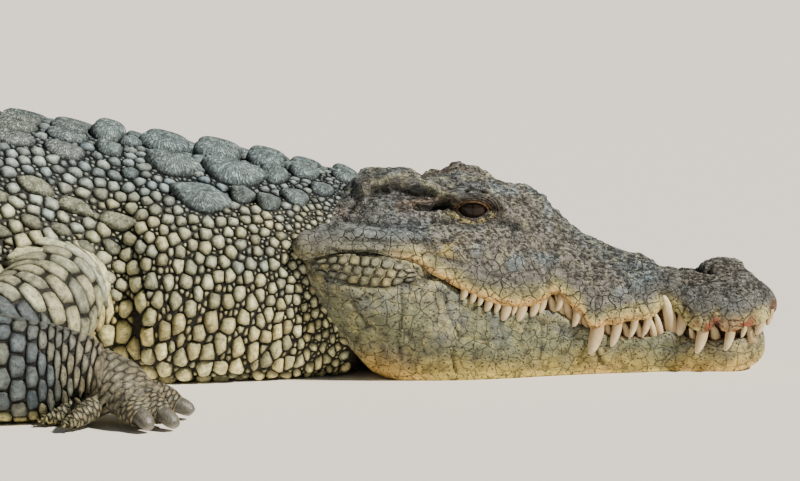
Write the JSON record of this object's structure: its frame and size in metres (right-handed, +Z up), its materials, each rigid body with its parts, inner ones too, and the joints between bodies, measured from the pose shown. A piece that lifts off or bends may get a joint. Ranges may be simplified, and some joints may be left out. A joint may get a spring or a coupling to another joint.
{
  "type": "crocodile",
  "caption": "Life-size adult crocodile lying at rest, head flat on the floor with the teeth showing along the closed jaws, legs sprawled and tail curved behind.",
  "frame": {"origin": "on the floor under the middle of the belly, on the flat that the belly rests on", "axes": "+X towards the snout, +Y to the animal's left, +Z up"},
  "size_m": [3.5177, 1.0604, 0.3418],
  "materials": {
    "skin": "matte scaled hide, grey olive above and dull yellow below",
    "horn": "worn grey horn of the claws",
    "eye": "wet, dark brown, clear front",
    "tooth": "ivory, slightly stained at the root"
  },
  "bodies": {
    "root": {"eye_left": "eye", "eye_right": "eye", "finger_claw_1_left": "horn", "finger_claw_1_right": "horn", "finger_claw_2_left": "horn", "finger_claw_2_right": "horn", "finger_claw_3_left": "horn", "finger_claw_3_right": "horn", "foot_left": "skin", "foot_right": "skin", "forearm_left": "skin", "forearm_right": "skin", "hand_left": "skin", "hand_right": "skin", "head": "skin", "lower_jaw": "skin", "neck": "skin", "shin_left": "skin", "shin_right": "skin", "tail_1": "skin", "tail_2": "skin", "tail_3": "skin", "tail_4": "skin", "thigh_left": "skin", "thigh_right": "skin", "toe_claw_1_left": "horn", "toe_claw_1_right": "horn", "toe_claw_2_left": "horn", "toe_claw_2_right": "horn", "toe_claw_3_left": "horn", "toe_claw_3_right": "horn", "trunk_front": "skin", "trunk_rear": "skin", "upper_arm_left": "skin", "upper_arm_right": "skin"}
  },
  "joints": []
}
